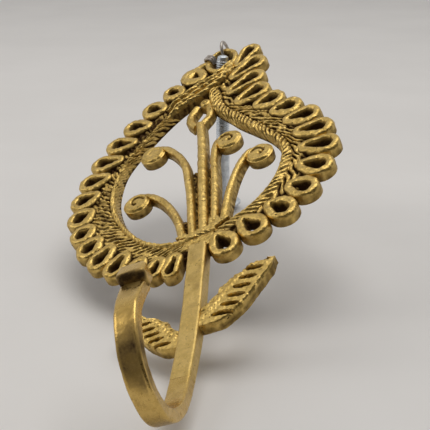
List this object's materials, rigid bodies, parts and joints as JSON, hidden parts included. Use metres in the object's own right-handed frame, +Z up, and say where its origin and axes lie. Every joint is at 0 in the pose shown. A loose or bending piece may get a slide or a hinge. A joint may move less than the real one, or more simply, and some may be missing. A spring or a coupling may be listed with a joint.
{
  "type": "wall hook",
  "caption": "Cast brass wall hook: pierced leaf-shaped back with petal loops and scrolls, a flat J hook with small leaves, and a fixing eye with a loose bolt.",
  "frame": {"origin": "on the wall plane, on the flat back of the bar just below the leaf", "axes": "+Z up the wall towards the leaf's tip, +X to the right seen from the front, +Y into the wall"},
  "size_m": [0.1061, 0.0978, 0.2123],
  "materials": {
    "brass": "aged, rough cast",
    "filed_brass": "filed smooth",
    "zinc": "zinc plated",
    "tie_steel": "dull"
  },
  "bodies": {
    "casting": {"braid_left": "brass", "braid_right": "brass", "bud": "brass", "fan_base": "brass", "fixing_eye": "brass", "fork_left": "brass", "fork_right": "brass", "hook_lip": "filed_brass", "j_hook": "filed_brass", "leaf_left": "brass", "leaf_right": "brass", "petal_left_01": "brass", "petal_left_02": "brass", "petal_left_03": "brass", "petal_left_04": "brass", "petal_left_05": "brass", "petal_left_06": "brass", "petal_left_07": "brass", "petal_left_08": "brass", "petal_left_09": "brass", "petal_left_10": "brass", "petal_left_11": "brass", "petal_left_12": "brass", "petal_left_13": "brass", "petal_left_14": "brass", "petal_left_15": "brass", "petal_left_16": "brass", "petal_right_01": "brass", "petal_right_02": "brass", "petal_right_03": "brass", "petal_right_04": "brass", "petal_right_05": "brass", "petal_right_06": "brass", "petal_right_07": "brass", "petal_right_08": "brass", "petal_right_09": "brass", "petal_right_10": "brass", "petal_right_11": "brass", "petal_right_12": "brass", "petal_right_13": "brass", "petal_right_14": "brass", "scroll_inner_left": "brass", "scroll_inner_right": "brass", "scroll_outer_left": "brass", "scroll_outer_right": "brass", "stem_bar": "filed_brass", "stem_centre": "brass", "tie_wire_side": "tie_steel", "tie_wire_top": "tie_steel"},
    "bolt": {"fixing_bolt": "zinc"}
  },
  "joints": [
    {"name": "bolt_slide", "type": "slide", "parent": "casting", "child": "bolt", "axis": [0.3521, -0.8751, 0.3319], "range_m": [0, 0.05]}
  ]
}
